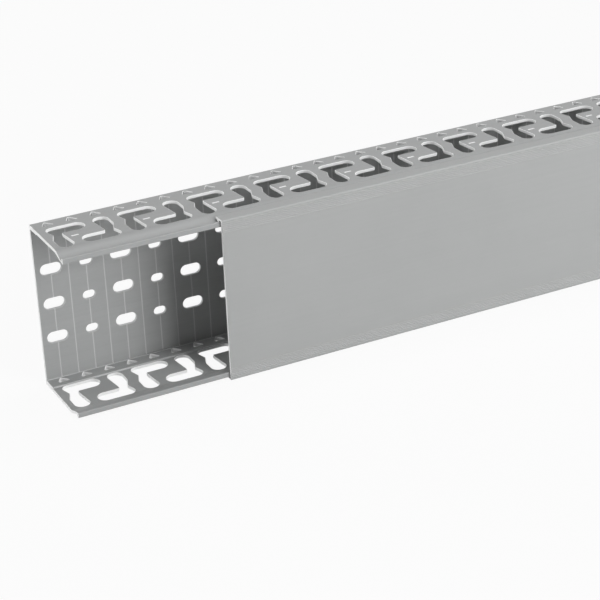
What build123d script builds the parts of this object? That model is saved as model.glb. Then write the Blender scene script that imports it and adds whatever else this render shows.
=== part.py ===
from build123d import *
import math
import os

# A slotted wire duct and its clip-on lid, standing on one side wall.
# Millimetres. X runs along the duct, the perforated back wall faces +Y and the lid faces -Y.
# A depth is counted from the back wall's outer face towards the lid.
# An inset is counted from the outer face of the nearer side wall towards the middle.

# Overall sizes
duct_length = 1000.0
duct_width = 118.0
duct_depth = 63.0
lid_shift = 110.0

# Walls of the duct
back_wall = 2.0
side_wall = 2.2
back_corner_radius = 1.0
root_strip_depth = 13.0
root_strip_extra = 0.8

# Lid and the clearances that it runs with
lid_plate = 2.0
lid_inset = 0.2
lid_corner_radius = 1.0
flange_wall = 1.3
hook_root_wall = 1.6
hook_inset = 3.6
hook_ramp = 3.5
running_gap = 0.35
groove_count = 6
groove_pitch = 1.3
groove_half_width = 0.35
groove_depth = 0.3
first_groove_inset = 2.5

# Lip along the open edge of each side wall: the wall bends in and ends in a turned-out hem
shoulder_reach = 12.6
bend_reach = 2.6
bend_drop = 0.65
snap_reach = 7.4
head_reach = 6.2
head_wall = 1.7
hem_wall = 1.8
hem_corner = 0.45

# Slots of the back wall: large and small columns take turns
column_pitch = 25.0
row_pitch = 25.0
row_count = 3
first_column = 11.3
large_slot_length = 15.0
large_slot_width = 8.0
small_slot_length = 9.0
small_slot_width = 6.0

# Figures and triangles punched in both side walls
figure_pitch = 2 * column_pitch
pair_middle = 26.5
pair_middle_depth = 30.6
pair_length = 44.0
figure_length = 27.0
figure_reach = 34.2
bar_width = 11.4
bar_setback = 1.0
bar_corner_radius = 5.0
leg_width = 10.6
neck_width = 9.0
neck_depth = 14.9
leg_flare_depth = 19.4
nick_height = 3.1
nick_depth = 12.4
nick_foot_depth = 20.4
triangle_pitch = figure_pitch / 3
triangle_start = 6.3
triangle_base = 8.4
triangle_front_depth = 8.5
triangle_reach = 6.1
triangle_lean = 3.4

# Few sides on what is punched many times over
end_sides = 4
corner_sides = 2
slot_sides = 3

# Where things lie
duct_start = -(duct_length + lid_shift) / 2
back_face = duct_depth / 2
half_width = duct_width / 2
lip_depth = duct_depth - lid_plate - running_gap
shoulder_depth = lip_depth - shoulder_reach
snap_depth = lip_depth - snap_reach
hem_depth = lip_depth - hem_wall
hem_inset = lid_inset + flange_wall + running_gap
hook_depth = snap_depth + running_gap
hook_front = hem_depth - running_gap
hook_root_inset = lid_inset + hook_root_wall
snap_floor = hook_inset + running_gap
head_depth = lip_depth - head_reach
head_inset = snap_floor + head_wall


def at(depth, inset):
    # a point of the lower half of a section, seen along the duct
    return (back_face - depth, inset - half_width)


def round_points(center, radius, start, turn, sides):
    # a round stretch as a few straight sides, angles in degrees
    angles = [math.radians(start + turn * step / sides) for step in range(sides + 1)]
    return [(center[0] + radius * math.cos(a), center[1] + radius * math.sin(a)) for a in angles]


def section_plane(start):
    # square to the duct, with its origin half way up the width
    return Plane(origin=(start, 0, half_width), x_dir=(0, 1, 0), z_dir=(1, 0, 0))


def slot_points(length, width):
    # a slot lying along X
    radius = width / 2
    reach = length / 2 - radius
    right = round_points((reach, 0), radius, -90, 180, slot_sides)
    left = round_points((-reach, 0), radius, 90, 180, slot_sides)
    return right + left


# The figure nearer the back wall, about the middle of its pair
figure_left = -pair_length / 2
figure_back = figure_reach / 2
bar_left = figure_left + bar_setback
bar_radius = bar_width / 2
leg_radius = leg_width / 2
bar_corner = (bar_left + bar_corner_radius, figure_back - bar_corner_radius)
bar_end = (figure_left + figure_length - bar_radius, figure_back - bar_radius)
leg_end = (figure_left + leg_radius, leg_radius - figure_back)
figure_points = (
    round_points(bar_corner, bar_corner_radius, 180, -90, corner_sides)
    + round_points(bar_end, bar_radius, 90, -180, end_sides)
    + [
        (figure_left + neck_width, figure_back - bar_width),
        (figure_left + neck_width, figure_back - neck_depth),
        (figure_left + leg_width, figure_back - leg_flare_depth),
    ]
    + round_points(leg_end, leg_radius, 0, -180, end_sides)
    + [
        (figure_left, figure_back - nick_foot_depth),
        (figure_left + nick_height, figure_back - nick_depth),
    ]
)

triangle_points = [
    (0, 0),
    (triangle_base, 0),
    (triangle_lean, triangle_reach),
]

with BuildSketch() as figure:
    with BuildLine():
        Polyline(*figure_points, close=True)
    make_face()

with BuildSketch() as triangle:
    with BuildLine():
        Polyline(*triangle_points, close=True)
    make_face()

with BuildSketch() as large_slot:
    with BuildLine():
        Polyline(*slot_points(large_slot_length, large_slot_width), close=True)
    make_face()

with BuildSketch() as small_slot:
    with BuildLine():
        Polyline(*slot_points(small_slot_length, small_slot_width), close=True)
    make_face()

# Places of the punching along the side walls
pair_y = back_face - pair_middle_depth
triangle_y = back_face - triangle_front_depth
pair_places = [
    (duct_start + pair_middle + figure_pitch * i, pair_y) for i in range(int(duct_length // figure_pitch))
]
triangle_places = [
    (duct_start + triangle_start + triangle_pitch * i, triangle_y)
    for i in range(int(duct_length // triangle_pitch))
]

with BuildSketch() as wall_punching:
    with Locations(*pair_places):
        add(figure.sketch)
        add(figure.sketch, rotation=180)
    with Locations(*triangle_places):
        add(triangle.sketch)

# Places of the slots in the back wall
column_count = int(duct_length // column_pitch)
column_places = [duct_start + first_column + column_pitch * i for i in range(column_count)]
row_places = [row_pitch * (i - (row_count - 1) / 2) for i in range(row_count)]
large_columns = column_places[0::2]
small_columns = column_places[1::2]
small_places = [(x, z) for x in small_columns for z in row_places]
back_plane = Plane(origin=(0, back_face, half_width), x_dir=(1, 0, 0), z_dir=(0, -1, 0))

# Four slots at each end and four in the middle take the screws, and are truly round
middle = len(large_columns) // 2
screw_columns = large_columns[:2] + large_columns[middle - 1 : middle + 1] + large_columns[-2:]
screw_places = [(x, z) for x in screw_columns for z in (row_places[0], row_places[-1])]
large_places = [(x, z) for x in large_columns for z in row_places if (x, z) not in screw_places]

with BuildSketch(back_plane) as back_slots:
    with Locations(*screw_places):
        SlotOverall(large_slot_length, large_slot_width)
    with Locations(*large_places):
        add(large_slot.sketch)
    with Locations(*small_places):
        add(small_slot.sketch)

with BuildPart() as duct_base:
    with BuildSketch(section_plane(duct_start)):
        with BuildLine():
            wall_line = Polyline(
                at(shoulder_depth, 0),
                at(back_corner_radius, 0),
            )
            corner = RadiusArc(wall_line @ 1, at(0, back_corner_radius), back_corner_radius)
            Polyline(
                corner @ 1,
                at(0, half_width),
                at(back_wall, half_width),
                at(back_wall, side_wall + root_strip_extra),
                at(root_strip_depth, side_wall + root_strip_extra),
                at(root_strip_depth, side_wall),
                at(shoulder_depth, side_wall),
                at(head_depth, head_inset),
                at(lip_depth, head_inset),
                at(lip_depth, hem_inset + hem_corner),
                at(lip_depth - hem_corner, hem_inset),
                at(hem_depth + hem_corner, hem_inset),
                at(hem_depth, hem_inset + hem_corner),
                at(hem_depth, snap_floor),
                at(snap_depth + hook_ramp, snap_floor),
                at(snap_depth, hook_root_inset + running_gap),
                at(shoulder_depth + bend_reach, bend_drop),
            )
            TangentArc(at(shoulder_depth, 0), at(shoulder_depth + bend_reach, bend_drop), tangent=(-1, 0))
        make_face()
        mirror(about=Plane.XZ)
    extrude(amount=duct_length)
    extrude(wall_punching.sketch, amount=duct_width, mode=Mode.SUBTRACT)
    extrude(back_slots.sketch, amount=back_wall, mode=Mode.SUBTRACT)

# Fine grooves run along both edges of the lid's face
lid_inner = duct_depth - lid_plate
groove_points = []
for i in reversed(range(groove_count)):
    groove_inset = first_groove_inset + groove_pitch * i
    groove_points += [
        at(duct_depth, groove_inset + groove_half_width),
        at(duct_depth - groove_depth, groove_inset),
        at(duct_depth, groove_inset - groove_half_width),
    ]

with BuildPart() as lid:
    with BuildSketch(section_plane(duct_start + lid_shift)):
        with BuildLine():
            face_line = Polyline(
                at(lid_inner, half_width),
                at(duct_depth, half_width),
                *groove_points,
                at(duct_depth, lid_inset + lid_corner_radius),
            )
            edge = RadiusArc(face_line @ 1, at(duct_depth - lid_corner_radius, lid_inset), lid_corner_radius)
            Polyline(
                edge @ 1,
                at(hook_depth, lid_inset),
                at(hook_depth, hook_root_inset),
                at(hook_depth + hook_ramp, hook_inset),
                at(hook_front, hook_inset),
                at(hook_front, lid_inset + flange_wall),
                at(lid_inner, lid_inset + flange_wall),
                at(lid_inner, half_width),
            )
        make_face()
        mirror(about=Plane.XZ)
    extrude(amount=duct_length)

duct_base.part.label = "duct_base"
lid.part.label = "lid"

os.makedirs("parts", exist_ok=True)
export_step(duct_base.part, "parts/duct_base.step")
export_step(lid.part, "parts/lid.step")
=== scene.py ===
import math
import bpy
from mathutils import Euler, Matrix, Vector


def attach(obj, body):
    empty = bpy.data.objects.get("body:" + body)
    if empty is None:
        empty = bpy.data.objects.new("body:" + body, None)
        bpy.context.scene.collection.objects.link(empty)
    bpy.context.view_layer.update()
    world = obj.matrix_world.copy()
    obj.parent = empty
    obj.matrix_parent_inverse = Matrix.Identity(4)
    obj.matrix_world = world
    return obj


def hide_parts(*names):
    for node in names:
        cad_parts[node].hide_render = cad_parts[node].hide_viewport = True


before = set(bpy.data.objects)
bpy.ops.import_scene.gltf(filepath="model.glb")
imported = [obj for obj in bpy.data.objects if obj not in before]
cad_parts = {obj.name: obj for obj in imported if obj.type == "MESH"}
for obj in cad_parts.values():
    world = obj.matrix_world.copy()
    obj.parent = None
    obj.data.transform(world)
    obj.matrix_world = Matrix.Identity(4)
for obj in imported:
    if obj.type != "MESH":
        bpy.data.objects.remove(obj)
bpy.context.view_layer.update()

mm = 0.001
mergeGap = 1e-6  # metres, closer than this is the same place

# Slotted wire duct with its cover slid a little way along it, standing on one side wall.
# X runs along the duct, the perforated back faces +Y and the cover faces -Y.
# Sizes are in millimetres. A depth is counted from the outer face of the back towards the cover,
# and an inset from the outer face of the nearer side wall towards the middle.


def clearSelection():
    if bpy.context.mode != "OBJECT":
        bpy.ops.object.mode_set(mode="OBJECT")
    bpy.ops.object.select_all(action="DESELECT")


def makeActive(piece):
    clearSelection()
    piece.select_set(True)
    bpy.context.view_layer.objects.active = piece


def drawFace(name, points):
    # one vertex pushed along the outline, point by point, and closed by a face
    clearSelection()
    last = Vector(points[0]) * mm
    bpy.ops.mesh.primitive_plane_add(size=mm, location=last)
    piece = bpy.context.object
    piece.name = name
    piece.data.name = name
    bpy.ops.object.mode_set(mode="EDIT")
    bpy.ops.mesh.select_mode(type="VERT")
    bpy.ops.mesh.select_all(action="SELECT")
    bpy.ops.mesh.merge(type="CENTER")
    for point in points[1:]:
        spot = Vector(point) * mm
        bpy.ops.mesh.extrude_region_move(TRANSFORM_OT_translate={"value": spot - last})
        last = spot
    bpy.ops.mesh.select_all(action="SELECT")
    bpy.ops.mesh.edge_face_add()
    return piece


def pushOut(piece, move, narrowing=None):
    # the drawn face drawn out into a solid, with its far face made smaller about a point if asked
    bpy.ops.mesh.select_all(action="SELECT")
    bpy.ops.mesh.extrude_region_move(TRANSFORM_OT_translate={"value": Vector(move) * mm})
    if narrowing:
        factors, middle = narrowing
        bpy.ops.transform.resize(value=factors, center_override=tuple(a * mm for a in middle))
    bpy.ops.mesh.select_all(action="SELECT")
    bpy.ops.mesh.normals_make_consistent(inside=False)
    bpy.ops.object.mode_set(mode="OBJECT")
    bpy.ops.object.transform_apply(location=True, rotation=True, scale=True)
    return piece


def copyAt(piece, move):
    # a copy with its own mesh, moved in the mesh
    makeActive(piece)
    bpy.ops.object.duplicate(linked=False)
    twin = bpy.context.object
    bpy.ops.transform.translate(value=Vector(move) * mm)
    bpy.ops.object.transform_apply(location=True, rotation=True, scale=True)
    return twin


def joinAll(pieces, name):
    clearSelection()
    for piece in pieces:
        piece.select_set(True)
    bpy.context.view_layer.objects.active = pieces[0]
    bpy.ops.object.join()
    pieces[0].name = name
    return pieces[0]


def giveFinish(piece, index, count=4):
    # every face of the piece on one material slot
    while len(piece.data.materials) < count:
        piece.data.materials.append(None)
    for face in piece.data.polygons:
        face.material_index = index


def applyModifier(piece, kind, **settings):
    makeActive(piece)
    modifier = piece.modifiers.new(kind.title(), kind)
    for key, value in settings.items():
        setattr(modifier, key, value)
    bpy.ops.object.modifier_apply(modifier=modifier.name)


def cutWith(piece, cutter):
    applyModifier(piece, "BOOLEAN", object=cutter, operation="DIFFERENCE", solver="EXACT", material_mode="INDEX")
    bpy.data.objects.remove(cutter, do_unlink=True)


def finishEdges(piece, settings, index):
    # rounds every edge sharper than the given angle, with the rounding on a material slot of its own; the callers
    # give that slot a lighter colour, a painted highlight along the edges
    makeActive(piece)
    bpy.ops.object.shade_smooth_by_angle(angle=math.radians(settings["smoothAngle"]))
    applyModifier(piece, "BEVEL", width=settings["edgeRound"] * mm, segments=settings["edgeSteps"],
                  limit_method="ANGLE", angle_limit=math.radians(settings["edgeAngle"]),
                  use_clamp_overlap=False, material=index)


def isSquare(face):
    # square to the run
    return abs(face.normal.x) > 0.99


def countTriangles(piece):
    return sum(len(face.vertices) - 2 for face in piece.data.polygons)


def roundStretch(center, radius, start, turn, steps):
    # points along part of a circle, angles in degrees
    angles = [math.radians(start + turn * step / steps) for step in range(steps + 1)]
    return [(center[0] + radius * math.cos(a), center[1] + radius * math.sin(a)) for a in angles]


def softCorner(before, corner, after, radius, steps):
    # the corner of an outline rounded to a radius
    toBefore = (Vector(before) - Vector(corner)).normalized()
    toAfter = (Vector(after) - Vector(corner)).normalized()
    half = toBefore.angle(toAfter) / 2
    middle = Vector(corner) + (toBefore + toAfter).normalized() * radius / math.sin(half)
    startArm = Vector(corner) + toBefore * radius / math.tan(half) - middle
    endArm = Vector(corner) + toAfter * radius / math.tan(half) - middle
    blend = [startArm.lerp(endArm, step / steps).normalized() * radius for step in range(steps + 1)]
    return [tuple(middle + arm) for arm in blend]


# Duct

duct = {
    "length": 1000, "width": 118, "depth": 63, "start": -555,
    "moduleLength": 100, "moduleCount": 10,  # one module is modelled and then repeated
    "backWall": 2.0, "sideWall": 2.2, "backRadius": 1.0, "backSteps": 5, "backInnerRadius": 0.5,
    "rootDepth": 13.0, "rootExtra": 0.8, "rootSlope": 0.4,
    "bendDepth": 49.07, "bendReach": 3.1, "bendSteps": 8, "innerBendDepth": 48.05, "innerBendRadius": 5,
    "snapDepth": 53.25, "snapInset": 2.15, "floorDepth": 56.75, "floorInset": 3.95, "floorRadius": 0.8,
    "hemDepth": 58.85, "hemInset": 1.85, "hemCorner": 0.6, "hemFootRadius": 0.3,
    "headDepth": 56.75, "headInset": 5.0, "headRadius": 9, "headFrontInset": 5.65,
    "lipDepth": 60.65, "lipRadius": 0.4,
    "edgeRound": 0.3, "edgeSteps": 2, "edgeAngle": 42, "smoothAngle": 17,
}

figure = {
    "pitch": 50, "middle": 26.5, "middleDepth": 30.6, "pairLength": 44, "length": 27,
    "reach": 34.2, "barWidth": 11.4, "barSetback": 1, "barCorner": 5, "legWidth": 10.6,
    "neckWidth": 9, "neckDepth": 14.9, "legFlare": 19.4, "nickHeight": 3.1,
    "nickDepth": 12.4, "nickFoot": 20.4, "neckRound": 1.2, "cornerSteps": 6, "endSteps": 14,
}

triangle = {
    "pitch": 50 / 3, "start": 6.3, "base": 8.4, "frontDepth": 8.5, "reach": 6.1,
    "lean": 3.4, "cornerRound": 0.7, "cornerSteps": 7,
}

slots = {
    "columnPitch": 25, "rowPitch": 25, "rows": 3, "firstColumn": 11.3, "endSteps": 12,
    "sizes": ((15, 8), (9, 6)),  # large and small columns take turns
}

score = {"first": 11.2, "pitch": 12.5, "halfWidth": 0.45, "depth": 0.16, "endGap": 0.2}

dash = {"middle": 19.7, "depth": 33.0, "length": 5.0, "width": 1.7, "sink": 0.28, "ridge": (0.52, 0.04, 1)}

cutOver = 1.0  # how far a cutter starts outside a wall
cutPast = 0.2  # how far it goes on behind the back wall
plainFace, paleCutAndHighlightFace, highlightLineFace, slotRimPaleAndHighlightFace = range(4)  # material slots of the duct

start = duct["start"]
backFace = duct["depth"] / 2
inner = backFace - duct["backWall"]
rootInset = duct["sideWall"] + duct["rootExtra"]


def sectionPoint(depth, inset):
    # a point of the lower half of a section
    return (backFace - depth, inset)


def wholeSection(lowerHalf, x):
    upper = [(y, duct["width"] - z) for y, z in reversed(lowerHalf)]
    return [(x, y, z) for y, z in lowerHalf + upper]


def softLine(corners):
    # a run of section points from the depth, inset, radius and steps of each corner
    points = []
    for i, (depth, inset, radius, steps) in enumerate(corners):
        here = sectionPoint(depth, inset)
        if radius:
            before, after = sectionPoint(*corners[i - 1][:2]), sectionPoint(*corners[i + 1][:2])
            points += softCorner(before, here, after, radius, steps)
        else:
            points.append(here)
    return points


lower = softLine([
    (duct["backWall"], duct["width"] / 2 - 1, 0, 0),
    (duct["backWall"], rootInset, duct["backInnerRadius"], 4),
    (duct["rootDepth"], rootInset, 0, 0),
    (duct["rootDepth"] + duct["rootSlope"], duct["sideWall"], 0, 0),
    (duct["innerBendDepth"], duct["sideWall"], duct["innerBendRadius"], 4),
    (duct["headDepth"], duct["headInset"], duct["headRadius"], 3),
    (duct["lipDepth"], duct["headFrontInset"], duct["lipRadius"], 4),
    (duct["lipDepth"], duct["hemInset"], duct["hemCorner"], 4),
    (duct["hemDepth"], duct["hemInset"], duct["hemCorner"], 4),
    (duct["hemDepth"], duct["floorInset"], duct["hemFootRadius"], 2),
    (duct["floorDepth"], duct["floorInset"], duct["floorRadius"], 3),
    (duct["snapDepth"], duct["snapInset"], 0, 0),
])[1:]  # the first point only gives the next corner its direction

# outside, the wall turns in from its flat, ever steeper, until it runs on into the ramp
rampSlope = (duct["floorInset"] - duct["snapInset"]) / (duct["floorDepth"] - duct["snapDepth"])
for step in range(duct["bendSteps"] + 1):
    along = 1 - step / duct["bendSteps"]
    depth = duct["bendDepth"] - duct["bendReach"] + 2 * duct["bendReach"] * along
    lower.append(sectionPoint(depth, rampSlope * duct["bendReach"] * along ** 2))
lower += roundStretch(
    sectionPoint(duct["backRadius"], duct["backRadius"]), duct["backRadius"], -90, 90, duct["backSteps"])

module = drawFace("ductBase", wholeSection(lower, start))
pushOut(module, (duct["moduleLength"], 0, 0))
print("duct section drawn out,", len(module.data.polygons), "faces")

# The figure nearer the back, about the middle of its pair
left = -figure["pairLength"] / 2
back = figure["reach"] / 2
barRadius = figure["barWidth"] / 2
legRadius = figure["legWidth"] / 2
barCorner = (left + figure["barSetback"] + figure["barCorner"], back - figure["barCorner"])
barEnd = (left + figure["length"] - barRadius, back - barRadius)
legEnd = (left + legRadius, legRadius - back)
neckTop = (left + figure["neckWidth"], back - figure["barWidth"])
neckFoot = (left + figure["neckWidth"], back - figure["neckDepth"])
flareFoot = (left + figure["legWidth"], back - figure["legFlare"])
nickFoot = (left, back - figure["nickFoot"])
nickTop = (left + figure["nickHeight"], back - figure["nickDepth"])
figurePoints = roundStretch(barCorner, figure["barCorner"], 180, -90, figure["cornerSteps"])
figurePoints += roundStretch(barEnd, barRadius, 90, -180, figure["endSteps"])
figurePoints += softCorner(figurePoints[-1], neckTop, neckFoot, figure["neckRound"], 6)
figurePoints += softCorner(neckTop, neckFoot, flareFoot, figure["neckRound"], 2)
figurePoints += roundStretch(legEnd, legRadius, 0, -180, figure["endSteps"])
figurePoints += softCorner((left, legRadius - back), nickFoot, nickTop, figure["neckRound"], 2)
figurePoints += softCorner(nickFoot, nickTop, figurePoints[0], figure["neckRound"] / 2, 3)

corners = [(0, 0), (triangle["base"], 0), (triangle["lean"], triangle["reach"])]
trianglePoints = []
for before, corner, after in zip(corners[-1:] + corners, corners, corners[1:] + corners):
    trianglePoints += softCorner(before, corner, after, triangle["cornerRound"], triangle["cornerSteps"])


def slotPoints(length, width):
    radius = width / 2
    reach = length / 2 - radius
    return (roundStretch((reach, 0), radius, -90, 180, slots["endSteps"])
            + roundStretch((-reach, 0), radius, 90, 180, slots["endSteps"]))


def punch(name, points, middle):
    # a cutter that goes down through both side walls
    outline = [(middle[0] + x, middle[1] + y, -cutOver) for x, y in points]
    return pushOut(drawFace(name, outline), (0, 0, duct["width"] + 2 * cutOver))


def backPunch(name, points, middle):
    outline = [(middle[0] + x, backFace + cutOver, middle[1] + z) for x, z in points]
    return pushOut(drawFace(name, outline), (0, -cutOver - duct["backWall"] - cutPast, 0))


def repeat(piece, pitch):
    # the piece and its copies along one module
    count = round(duct["moduleLength"] / pitch)
    return [piece] + [copyAt(piece, (pitch * i, 0, 0)) for i in range(1, count)]


pairPlace = (start + figure["middle"], backFace - figure["middleDepth"])
straight = punch("figureCutter", figurePoints, pairPlace)
turned = punch("figureCutterTurned", [(-x, -y) for x, y in figurePoints], pairPlace)
cutters = repeat(straight, figure["pitch"]) + repeat(turned, figure["pitch"])
trianglePlace = (start + triangle["start"], backFace - triangle["frontDepth"])
cutters += repeat(punch("triangleCutter", trianglePoints, trianglePlace), triangle["pitch"])
for i, (length, width) in enumerate(slots["sizes"]):
    firstSlot = (start + slots["firstColumn"] + slots["columnPitch"] * i, duct["width"] / 2 - slots["rowPitch"])
    column = [backPunch("slotCutter", slotPoints(length, width), firstSlot)]
    column += [copyAt(column[0], (0, 0, slots["rowPitch"] * row)) for row in range(1, slots["rows"])]
    for cutter in column:
        cutters += repeat(cutter, slots["columnPitch"] * len(slots["sizes"]))

# a score line's cutter lies half inside the wall, so it is twice as wide and deep as the line
scoreFoot = rootInset + duct["backInnerRadius"] + score["endGap"]
outline = [(start + score["first"] + 2 * side * score["halfWidth"], inner + score["depth"] * lift, scoreFoot)
           for side, lift in ((-1, -1), (1, -1), (0, 1))]
scoreCutter = pushOut(drawFace("scoreCutter", outline), (0, 0, duct["width"] - 2 * scoreFoot))
scoreTool = joinAll(repeat(scoreCutter, score["pitch"]), "scoreTool")
punchTool = joinAll(cutters, "punchTool")

# a short shallow stamp beside each pair of figures, in both side walls
dashX, dashY = start + dash["middle"], backFace - dash["depth"]
halfLength = (dash["length"] + dash["width"]) / 2
dashTools = []
for wallFace, inwards in ((0, 1), (duct["width"], -1)):
    outline = [(dashX + x * halfLength, dashY + y * dash["width"], wallFace - inwards * dash["sink"])
               for x, y in ((-1, -1), (1, -1), (1, 1), (-1, 1))]
    stamp = pushOut(drawFace("dashTool", outline), (0, 0, 2 * inwards * dash["sink"]),
                    (dash["ridge"], (dashX, dashY, wallFace)))
    dashTools += repeat(stamp, figure["pitch"])
dashTool = joinAll(dashTools, "dashTool")

giveFinish(module, plainFace)
# score grooves take a lighter colour, a painted highlight line
giveFinish(scoreTool, highlightLineFace)
giveFinish(punchTool, paleCutAndHighlightFace)
# the stamps take the pale cut colour with its painted highlight
giveFinish(dashTool, paleCutAndHighlightFace)
triangleLimit = triangle["frontDepth"] + 0.5  # punched faces that lie deeper belong to the figures
for face in punchTool.data.polygons:
    depth = backFace - face.center.y / mm
    if depth < duct["backWall"]:
        face.material_index = slotRimPaleAndHighlightFace
    elif depth < triangleLimit:
        # triangle walls keep the plain plastic colour, inside a rim of pale cut colour with painted highlight
        face.material_index = plainFace  # triangles, dark inside a pale rim
# the rounding where back and side walls meet inside takes the lighter colour of a painted highlight line
for face in module.data.polygons:  # the rounding where back and side walls meet inside
    y, z = face.center.y / mm, face.center.z / mm
    inset = min(z, duct["width"] - z)
    if abs(inner - y) < duct["backInnerRadius"] and 0 < inset - rootInset < duct["backInnerRadius"]:
        face.material_index = highlightLineFace

for tool in (scoreTool, punchTool, dashTool):
    cutWith(module, tool)
# on the lower wall both slopes of each triangle take the pale cut colour with painted highlight; on the upper wall
# only the slope facing -x does, and the slope facing +x keeps the plain colour as painted shade
for face in module.data.polygons:  # the triangles of the upper wall have one slope in the dark
    depth, z = backFace - face.center.y / mm, face.center.z / mm
    isSlope = abs(face.normal.z) < 0.1 < abs(face.normal.x) and not isSquare(face)
    if isSlope and duct["backWall"] < depth < triangleLimit:
        takesPaleCutAndHighlight = z < duct["width"] / 2 or face.normal.x < 0
        face.material_index = paleCutAndHighlightFace if takesPaleCutAndHighlight else plainFace
print("duct module punched,", countTriangles(module), "triangles")


def isCutEnd(face, length):
    # square to the run, at either end of a piece that long
    ends = (start * mm, (start + length) * mm)
    return isSquare(face) and min(abs(face.center.x - end) for end in ends) < mergeGap


makeActive(module)
bpy.ops.object.mode_set(mode="EDIT")
bpy.ops.mesh.select_mode(type="FACE")
bpy.ops.mesh.select_all(action="DESELECT")
bpy.ops.object.mode_set(mode="OBJECT")
for face in module.data.polygons:
    face.select = isCutEnd(face, duct["moduleLength"])
bpy.ops.object.mode_set(mode="EDIT")
bpy.ops.mesh.delete(type="FACE")
applyModifier(module, "ARRAY", count=duct["moduleCount"], use_relative_offset=False, use_constant_offset=True,
              constant_offset_displace=(duct["moduleLength"] * mm, 0, 0), use_merge_vertices=True,
              merge_threshold=mergeGap)
ductBase = module
makeActive(ductBase)
bpy.ops.object.mode_set(mode="EDIT")
bpy.ops.mesh.select_all(action="SELECT")
bpy.ops.mesh.fill_holes(sides=0)
bpy.ops.object.mode_set(mode="OBJECT")
# the cut ends of the duct take the pale cut colour with its painted highlight
for face in ductBase.data.polygons:
    if isCutEnd(face, duct["length"]):
        face.material_index = paleCutAndHighlightFace
finishEdges(ductBase, duct, paleCutAndHighlightFace)

margin = 2  # keeps clear of the two ends and of the side walls
rimReach = 0.4  # a broken edge goes less far in than this
stepReach = 1  # half of the stretch in which the root strip's edge is looked for
slack = 0.1
for face in ductBase.data.polygons:
    x, y, z = face.center / mm
    inset = min(z, duct["width"] - z)
    if face.material_index != paleCutAndHighlightFace or not margin < x - start < duct["length"] - margin:
        continue
    # slot rims get the paler slot colour with its weaker painted highlight
    if y > inner - rimReach and inset > rootInset + margin:
        face.material_index = slotRimPaleAndHighlightFace  # the rims of the slots are duller than those of the figures
    # the root strip's edge takes the lighter colour of a painted highlight line
    elif (abs(backFace - y - duct["rootDepth"]) < stepReach
          and duct["sideWall"] - slack < inset < rootInset + slack):
        face.material_index = highlightLineFace  # the edge of the root strip
applyModifier(ductBase, "WEIGHTED_NORMAL", keep_sharp=True)
print("duct finished,", countTriangles(ductBase), "triangles")

# Cover

cover = {
    "shift": 110, "plate": 2.0, "inset": 0.2, "cornerRadius": 1.0, "cornerSteps": 6,
    "flangeWall": 1.3, "hookDepth": 53.6, "hookRamp": 3.5, "hookFront": 58.5,
    "hookRootInset": 1.8, "hookInset": 3.6,
    "grooves": 6, "groovePitch": 1.3, "grooveHalf": 0.35, "grooveDepth": 0.3, "firstGroove": 2.5,
    "edgeRound": 0.15, "edgeSteps": 2, "edgeAngle": 60, "smoothAngle": 20,
}
coverFace, coverEnd, coverEdgeHighlight = range(3)  # material slots of the cover

coverInner = duct["depth"] - cover["plate"]
flangeInset = cover["inset"] + cover["flangeWall"]
lower = []
for i in reversed(range(cover["grooves"])):
    inset = cover["firstGroove"] + cover["groovePitch"] * i
    lower += [
        sectionPoint(duct["depth"], inset + cover["grooveHalf"]),
        sectionPoint(duct["depth"] - cover["grooveDepth"], inset),
        sectionPoint(duct["depth"], inset - cover["grooveHalf"]),
    ]
lower += roundStretch(
    sectionPoint(duct["depth"] - cover["cornerRadius"], cover["inset"] + cover["cornerRadius"]),
    cover["cornerRadius"], 180, 90, cover["cornerSteps"])
lower += [
    sectionPoint(cover["hookDepth"], cover["inset"]),
    sectionPoint(cover["hookDepth"], cover["hookRootInset"]),
    sectionPoint(cover["hookDepth"] + cover["hookRamp"], cover["hookInset"]),
    sectionPoint(cover["hookFront"], cover["hookInset"]),
    sectionPoint(cover["hookFront"], flangeInset),
    sectionPoint(coverInner, flangeInset),
]
lidCover = drawFace("lidCover", wholeSection(lower, start + cover["shift"]))
pushOut(lidCover, (duct["length"], 0, 0))
giveFinish(lidCover, coverFace, 3)
for face in lidCover.data.polygons:
    if isSquare(face):
        face.material_index = coverEnd
# the cover's rounded edges, groove bottoms included, take a lighter colour as a painted highlight
finishEdges(lidCover, cover, coverEdgeHighlight)
applyModifier(lidCover, "WEIGHTED_NORMAL", keep_sharp=True)
print("cover finished,", countTriangles(lidCover), "triangles")


# Materials


class Wire:
    # one value or colour on its way between shader nodes
    def __init__(self, board, socket):
        self.board = board
        self.socket = socket

    def __add__(self, other):
        return self.board.maths("ADD", self, other)

    def __radd__(self, other):
        return self.board.maths("ADD", other, self)

    def __sub__(self, other):
        return self.board.maths("SUBTRACT", self, other)

    def __rsub__(self, other):
        return self.board.maths("SUBTRACT", other, self)

    def __mul__(self, other):
        return self.board.maths("MULTIPLY", self, other)

    def __rmul__(self, other):
        return self.board.maths("MULTIPLY", other, self)


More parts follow.
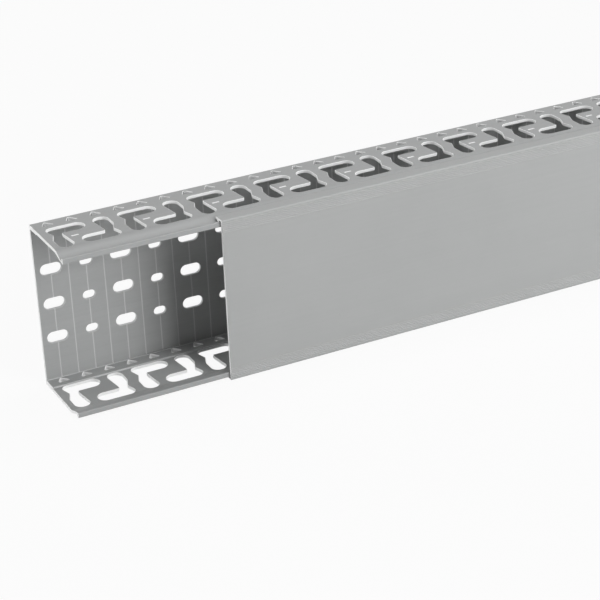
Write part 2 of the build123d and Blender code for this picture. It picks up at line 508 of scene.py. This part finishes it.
class Board:
    # the node tree of a material or a world
    def __init__(self, owner):
        owner.use_nodes = True
        self.tree = owner.node_tree
        self.tree.nodes.clear()

    def node(self, kind, settings=None, inputs=None):
        made = self.tree.nodes.new(kind)
        for key, value in (settings or {}).items():
            if key == "stops":
                for stop, (place, shade) in zip(made.color_ramp.elements, value):
                    stop.position = place
                    stop.color = (shade, shade, shade, 1)
            else:
                setattr(made, key, value)
        for key, value in (inputs or {}).items():
            if isinstance(value, Wire):
                self.tree.links.new(value.socket, made.inputs[key])
            else:
                made.inputs[key].default_value = value
        return made

    def wire(self, made, output=0):
        return Wire(self, made.outputs[output])

    def maths(self, operation, first, second):
        return self.wire(self.node("ShaderNodeMath", {"operation": operation}, {0: first, 1: second}))

    def noise(self, stretch, scale, detail, roughness):
        # noise in the piece's own coordinates, squeezed across the run by stretch
        coordinates = self.wire(self.node("ShaderNodeTexCoord"), "Object")
        place = self.wire(self.node("ShaderNodeMapping", None, {"Vector": coordinates, "Scale": stretch}))
        return self.wire(self.node(
            "ShaderNodeTexNoise", None,
            {"Vector": place, "Scale": scale, "Detail": detail, "Roughness": roughness}))

    def ramp(self, value, stops):
        return self.wire(self.node("ShaderNodeValToRGB", {"stops": stops}, {"Fac": value}))

    def blend(self, factor, first, second):
        return self.wire(self.node("ShaderNodeMix", {"data_type": "RGBA"}, {0: factor, 6: first, 7: second}), 2)


texture = {  # how far each noise is squeezed across the run, its scale, detail and roughness
    "clouds": ((1, 1, 1), 14, 4, 0.6), "lines": ((1, 150, 150), 3.2, 5, 0.65),
    "fineLines": ((4, 900, 900), 2.2, 3, 0.6), "grain": ((1, 1, 1), 2100, 2, 0.5),
    "scuffs": ((6, 30, 30), 5.5, 6, 0.72), "specks": ((1, 1, 1), 620, 2, 0.6),
    "lineStops": ((0.35, 0), (0.65, 1)), "scuffStops": ((0.57, 0), (0.74, 1)), "speckStops": ((0.66, 0), (0.76, 1)),
    "cloudGloss": 0.16, "lineGloss": 0.10, "scuffGloss": 0.10,
    "lineHeight": 0.5, "fineLineHeight": 0.3, "bumpDistance": 0.00012,
}


def plastic(name, look):
    # extruded rigid plastic: drawn lines along the run, soft clouds, fine grain
    material = bpy.data.materials.new(name)
    board = Board(material)
    clouds, lines, fineLines, grain, scuffs, specks = (
        board.noise(*texture[key]) for key in ("clouds", "lines", "fineLines", "grain", "scuffs", "specks"))
    scuffs = board.ramp(scuffs, texture["scuffStops"])
    specks = board.ramp(specks, texture["speckStops"])
    shade = board.blend(clouds, look["dark"], look["light"])
    shade = board.blend(board.ramp(lines, texture["lineStops"]) * look["lineTint"], shade, look["line"])
    shade = board.blend(scuffs * look["scuffTint"], shade, look["scuff"])
    shade = board.blend(specks * look["speckTint"], shade, look["speck"])
    gloss = (look["rough"] + (clouds - 0.5) * texture["cloudGloss"] + (lines - 0.5) * texture["lineGloss"]
             + scuffs * texture["scuffGloss"])
    height = lines * texture["lineHeight"] + fineLines * texture["fineLineHeight"] + grain * look["grain"]
    bump = board.node("ShaderNodeBump", None, {
        "Strength": look["bump"], "Distance": texture["bumpDistance"], "Height": height})
    shader = board.node("ShaderNodeBsdfPrincipled", None, {
        "Base Color": shade, "Roughness": gloss, "Normal": board.wire(bump), "IOR": 1.5,
        "Specular IOR Level": look["shine"]})
    board.node("ShaderNodeOutputMaterial", None, {"Surface": board.wire(shader)})
    return material


ductLook = {
    "dark": (0.355, 0.362, 0.362, 1), "light": (0.400, 0.407, 0.407, 1), "line": (0.43, 0.436, 0.436, 1),
    "lineTint": 0.35, "scuff": (0.49, 0.495, 0.49, 1), "scuffTint": 0.22, "speck": (0.27, 0.275, 0.275, 1),
    "speckTint": 0.25, "rough": 0.42, "bump": 0.45, "grain": 0.35, "shine": 0.36,
}
# pale cut plastic on cut faces and rounded edges, lighter still as a painted highlight of edges catching the light
paleCutAndHighlightLook = {
    "dark": (0.88, 0.885, 0.882, 1), "light": (0.95, 0.955, 0.952, 1), "line": (0.92, 0.925, 0.922, 1),
    "lineTint": 0.2, "scuff": (0.96, 0.96, 0.955, 1), "scuffTint": 0.4, "speck": (0.70, 0.705, 0.70, 1),
    "speckTint": 0.3, "rough": 0.62, "bump": 0.8, "grain": 0.9, "shine": 0.5,
}
# slot rims: paler cut plastic with a painted highlight weaker than the figures'
slotRimPaleAndHighlightLook = {
    "dark": (0.52, 0.525, 0.525, 1), "light": (0.62, 0.625, 0.625, 1), "line": (0.58, 0.585, 0.585, 1),
    "lineTint": 0.2, "scuff": (0.70, 0.70, 0.695, 1), "scuffTint": 0.4, "speck": (0.40, 0.405, 0.40, 1),
    "speckTint": 0.35, "rough": 0.6, "bump": 0.8, "grain": 0.9, "shine": 0.4,
}
# lighter colour of score grooves, the inner back corner and the root strip's edge: a painted highlight line
highlightLineLook = {
    "dark": (0.50, 0.507, 0.507, 1), "light": (0.58, 0.587, 0.587, 1), "line": (0.55, 0.555, 0.555, 1),
    "lineTint": 0.2, "scuff": (0.6, 0.605, 0.6, 1), "scuffTint": 0.3, "speck": (0.4, 0.405, 0.4, 1),
    "speckTint": 0.3, "rough": 0.55, "bump": 0.6, "grain": 0.5, "shine": 0.36,
}
# lighter colour of the cover's rounded edges: a painted highlight
coverRimHighlightLook = {
    "dark": (0.47, 0.476, 0.474, 1), "light": (0.54, 0.546, 0.544, 1), "line": (0.5, 0.506, 0.504, 1),
    "lineTint": 0.2, "scuff": (0.58, 0.585, 0.58, 1), "scuffTint": 0.2, "speck": (0.40, 0.405, 0.40, 1),
    "speckTint": 0.2, "rough": 0.5, "bump": 0.4, "grain": 0.5, "shine": 0.45,
}
coverLook = {
    "dark": (0.385, 0.393, 0.391, 1), "light": (0.425, 0.433, 0.431, 1), "line": (0.45, 0.456, 0.454, 1),
    "lineTint": 0.2, "scuff": (0.5, 0.505, 0.5, 1), "scuffTint": 0.15, "speck": (0.31, 0.315, 0.31, 1),
    "speckTint": 0.2, "rough": 0.44, "bump": 0.3, "grain": 0.4, "shine": 0.45,
}

ductBase.data.materials[plainFace] = plastic("ductPlastic", ductLook)
ductBase.data.materials[paleCutAndHighlightFace] = plastic("cutEdgePaleAndHighlight", paleCutAndHighlightLook)
ductBase.data.materials[highlightLineFace] = plastic("paintedLightLine", highlightLineLook)
ductBase.data.materials[slotRimPaleAndHighlightFace] = plastic("slotRimPlasticPaleAndHighlight", slotRimPaleAndHighlightLook)
lidCover.data.materials[coverFace] = plastic("coverPlastic", coverLook)
# the cover's cut ends take the pale cut colour with its painted highlight
lidCover.data.materials[coverEnd] = plastic("coverCutEnd", paleCutAndHighlightLook)
lidCover.data.materials[coverEdgeHighlight] = plastic("coverEdgeHighlight", coverRimHighlightLook)

for piece, body, slot, node in (
        (ductBase, "duct", "base_plastic", "duct_base"), (lidCover, "cover", "lid_plastic", "lid")):
    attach(piece, body)
    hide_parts(node)
print("materials on")

# Floor, light and camera

studio = {
    "floorSize": 9, "floorShade": 0.75, "floorGlow": 0.93, "world": 0.04,
    "target": (-0.45, 0, 0.06), "lampDistance": 2.5, "lampSize": 1.0,
    "lamps": {  # side and height of each lamp in degrees, seen from the object's front, and its power
        "topLamp": (113, 67, 18), "frontLamp": (24, 40, 11), "lowLamp": (22, 20, 22),
        "sideLamp": (40, 13, 15.5), "leftLamp": (-95, 12, 26), "backLamp": (-155, 14, 22),
    },
}
white = (1, 1, 1, 1)

clearSelection()
bpy.ops.mesh.primitive_plane_add(size=studio["floorSize"], location=(0, 0, 0))
floor = bpy.context.object
floor.name = "floor"
paleFloor = bpy.data.materials.new("paleFloor")
board = Board(paleFloor)
path = board.node("ShaderNodeLightPath")
seen = board.maths("MAXIMUM", board.wire(path, "Is Camera Ray"), board.wire(path, "Is Glossy Ray"))
seen = board.maths("MAXIMUM", seen, board.wire(path, "Is Transmission Ray"))
shade = studio["floorShade"]
matte = board.node("ShaderNodeBsdfDiffuse", None, {"Color": (shade, shade, shade, 1)})
glow = board.node("ShaderNodeEmission", None, {"Color": white, "Strength": 1.0})
both = board.node("ShaderNodeMixShader", None, {
    0: seen * studio["floorGlow"], 1: board.wire(matte), 2: board.wire(glow)})
board.node("ShaderNodeOutputMaterial", None, {"Surface": board.wire(both)})
floor.data.materials.append(paleFloor)

# the world looks white and gives little light
world = bpy.data.worlds.new("studio")
bpy.context.scene.world = world
board = Board(world)
path = board.node("ShaderNodeLightPath")
seen = board.maths("MAXIMUM", board.wire(path, "Is Camera Ray"), board.wire(path, "Is Glossy Ray"))
dim = board.node("ShaderNodeBackground", None, {"Color": white, "Strength": studio["world"]})
bright = board.node("ShaderNodeBackground", None, {"Color": white, "Strength": 1.0})
both = board.node("ShaderNodeMixShader", None, {0: seen, 1: board.wire(dim), 2: board.wire(bright)})
board.node("ShaderNodeOutputWorld", None, {"Surface": board.wire(both)})

for name, (side, height, power) in studio["lamps"].items():
    side, height = math.radians(side), math.radians(height)
    away = Vector((math.sin(side) * math.cos(height), -math.cos(side) * math.cos(height), math.sin(height)))
    clearSelection()
    bpy.ops.object.light_add(type="AREA", location=Vector(studio["target"]) + away * studio["lampDistance"])
    lamp = bpy.context.object
    lamp.name = name
    lamp.data.energy = power
    lamp.data.size = studio["lampSize"]
    lamp.rotation_euler = (-away).to_track_quat("-Z", "Y").to_euler()

view = {
    "place": (-0.90534365, -1.07340169, 0.60380548), "turn": (64.36836, 2.289514, -27.377059),
    "lens": 114.167, "sensor": 36, "clipEnd": 30,
}
clearSelection()
bpy.ops.object.camera_add(location=view["place"])
camera = bpy.context.object
camera.rotation_euler = Euler([math.radians(angle) for angle in view["turn"]], "XYZ")
camera.data.lens = view["lens"]
camera.data.sensor_width = view["sensor"]
camera.data.clip_end = view["clipEnd"]
bpy.context.scene.camera = camera
bpy.context.scene.view_settings.view_transform = "Standard"

print("scene ready")
